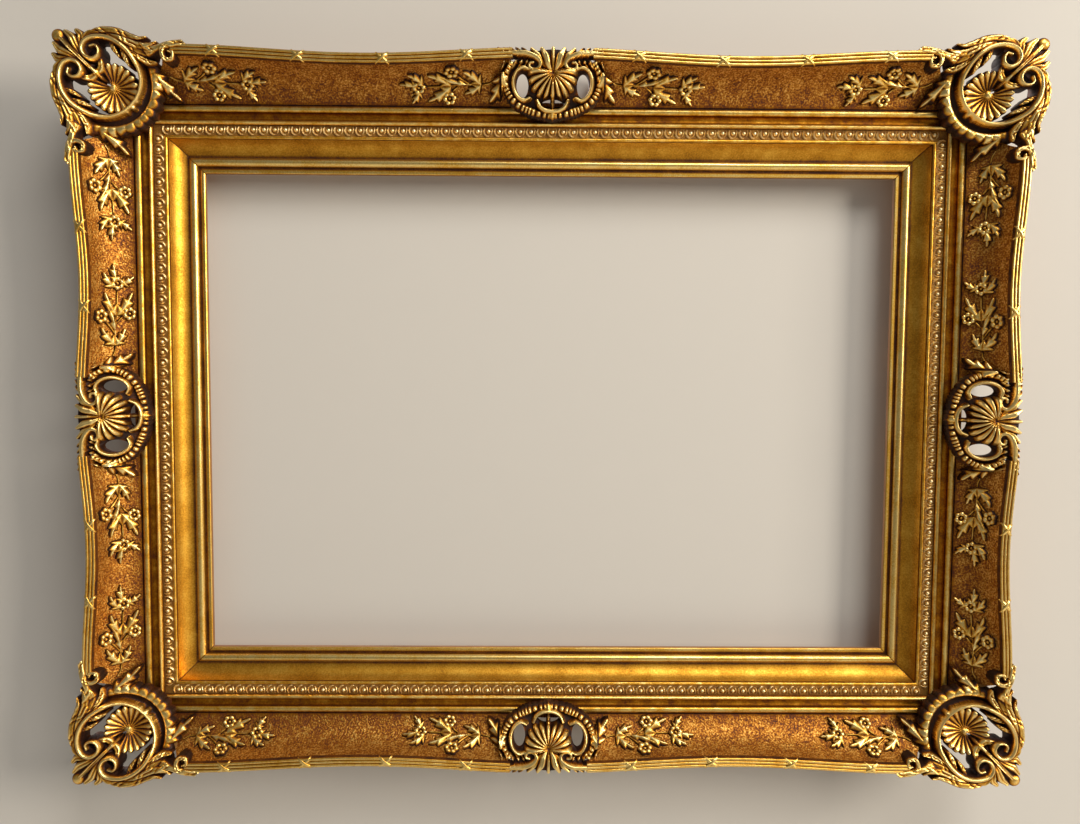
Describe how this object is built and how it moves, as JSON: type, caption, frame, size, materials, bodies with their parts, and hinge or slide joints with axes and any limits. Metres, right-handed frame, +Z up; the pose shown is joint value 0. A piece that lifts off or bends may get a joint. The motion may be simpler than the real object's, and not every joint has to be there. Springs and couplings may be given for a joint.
{
  "type": "ornate gilded picture frame",
  "caption": "Rectangular gilded wood picture frame with pierced shell cartouches, flower sprigs, reeded edge and an inner slip, held by turn buttons and hung by hinged rings.",
  "frame": {"origin": "middle of the picture opening, on the wall plane behind the frame", "axes": "+X to the right seen from the front, +Y back towards the wall, +Z up"},
  "size_m": [0.7392, 0.0686, 0.5732],
  "materials": {
    "gilded_wood": "sanded and water gilt over red clay, aged; bare wood behind",
    "gilded_composition": "gilt composition, rubbed bright on the high places",
    "slip_gilding": "satin gilding",
    "bare_wood": "sawn",
    "button_brass": "dull",
    "hanger_steel": "zinc plated",
    "screw_steel": "zinc plated",
    "bumper_rubber": "matt"
  },
  "bodies": {
    "frame": {"bottom_rail": "gilded_wood", "centre_cartouche_bottom": "gilded_composition", "centre_cartouche_left": "gilded_composition", "centre_cartouche_right": "gilded_composition", "centre_cartouche_top": "gilded_composition", "corner_cartouche_bottom_left": "gilded_composition", "corner_cartouche_bottom_right": "gilded_composition", "corner_cartouche_top_left": "gilded_composition", "corner_cartouche_top_right": "gilded_composition", "corner_keys": "bare_wood", "hanger_screws": "screw_steel", "hanger_strap_left": "hanger_steel", "hanger_strap_right": "hanger_steel", "leaf_strip_bottom": "gilded_composition", "leaf_strip_left": "gilded_composition", "leaf_strip_right": "gilded_composition", "leaf_strip_top": "gilded_composition", "left_rail": "gilded_wood", "reed_edge_bottom_left": "gilded_composition", "reed_edge_bottom_right": "gilded_composition", "reed_edge_left_lower": "gilded_composition", "reed_edge_left_upper": "gilded_composition", "reed_edge_right_lower": "gilded_composition", "reed_edge_right_upper": "gilded_composition", "reed_edge_top_left": "gilded_composition", "reed_edge_top_right": "gilded_composition", "right_rail": "gilded_wood", "slip_bottom": "slip_gilding", "slip_left": "slip_gilding", "slip_right": "slip_gilding", "slip_top": "slip_gilding", "sprig_centre_bottom_left": "gilded_composition", "sprig_centre_bottom_right": "gilded_composition", "sprig_centre_left_lower": "gilded_composition", "sprig_centre_left_upper": "gilded_composition", "sprig_centre_right_lower": "gilded_composition", "sprig_centre_right_upper": "gilded_composition", "sprig_centre_top_left": "gilded_composition", "sprig_centre_top_right": "gilded_composition", "sprig_corner_bottom_left": "gilded_composition", "sprig_corner_bottom_right": "gilded_composition", "sprig_corner_left_lower": "gilded_composition", "sprig_corner_left_upper": "gilded_composition", "sprig_corner_right_lower": "gilded_composition", "sprig_corner_right_upper": "gilded_composition", "sprig_corner_top_left": "gilded_composition", "sprig_corner_top_right": "gilded_composition", "top_rail": "gilded_wood", "turn_button_screws": "screw_steel", "wall_bumpers": "bumper_rubber"},
    "ring_left": {"hanger_ring_left": "hanger_steel"},
    "ring_right": {"hanger_ring_right": "hanger_steel"},
    "button_top_left": {"turn_button_top_left": "button_brass"},
    "button_top_right": {"turn_button_top_right": "button_brass"},
    "button_right": {"turn_button_right": "button_brass"},
    "button_bottom_right": {"turn_button_bottom_right": "button_brass"},
    "button_bottom_left": {"turn_button_bottom_left": "button_brass"},
    "button_left": {"turn_button_left": "button_brass"}
  },
  "joints": [
    {"name": "ring_left_swing", "type": "hinge", "parent": "frame", "child": "ring_left", "pos_m": [-0.325, -0.0032, 0.095], "axis": [1, 0, 0], "range_deg": [0, 180]},
    {"name": "ring_right_swing", "type": "hinge", "parent": "frame", "child": "ring_right", "pos_m": [0.325, -0.0032, 0.095], "axis": [1, 0, 0], "range_deg": [0, 180]},
    {"name": "button_top_left_turn", "type": "hinge", "parent": "frame", "child": "button_top_left", "pos_m": [-0.15, -0.00505, 0.23], "axis": [0, 1, 0], "continuous": true},
    {"name": "button_top_right_turn", "type": "hinge", "parent": "frame", "child": "button_top_right", "pos_m": [0.15, -0.00505, 0.23], "axis": [0, 1, 0], "continuous": true},
    {"name": "button_right_turn", "type": "hinge", "parent": "frame", "child": "button_right", "pos_m": [0.313, -0.00505, 0], "axis": [0, 1, 0], "continuous": true},
    {"name": "button_bottom_right_turn", "type": "hinge", "parent": "frame", "child": "button_bottom_right", "pos_m": [0.15, -0.00505, -0.23], "axis": [0, 1, 0], "continuous": true},
    {"name": "button_bottom_left_turn", "type": "hinge", "parent": "frame", "child": "button_bottom_left", "pos_m": [-0.15, -0.00505, -0.23], "axis": [0, 1, 0], "continuous": true},
    {"name": "button_left_turn", "type": "hinge", "parent": "frame", "child": "button_left", "pos_m": [-0.313, -0.00505, 0], "axis": [0, 1, 0], "continuous": true}
  ]
}
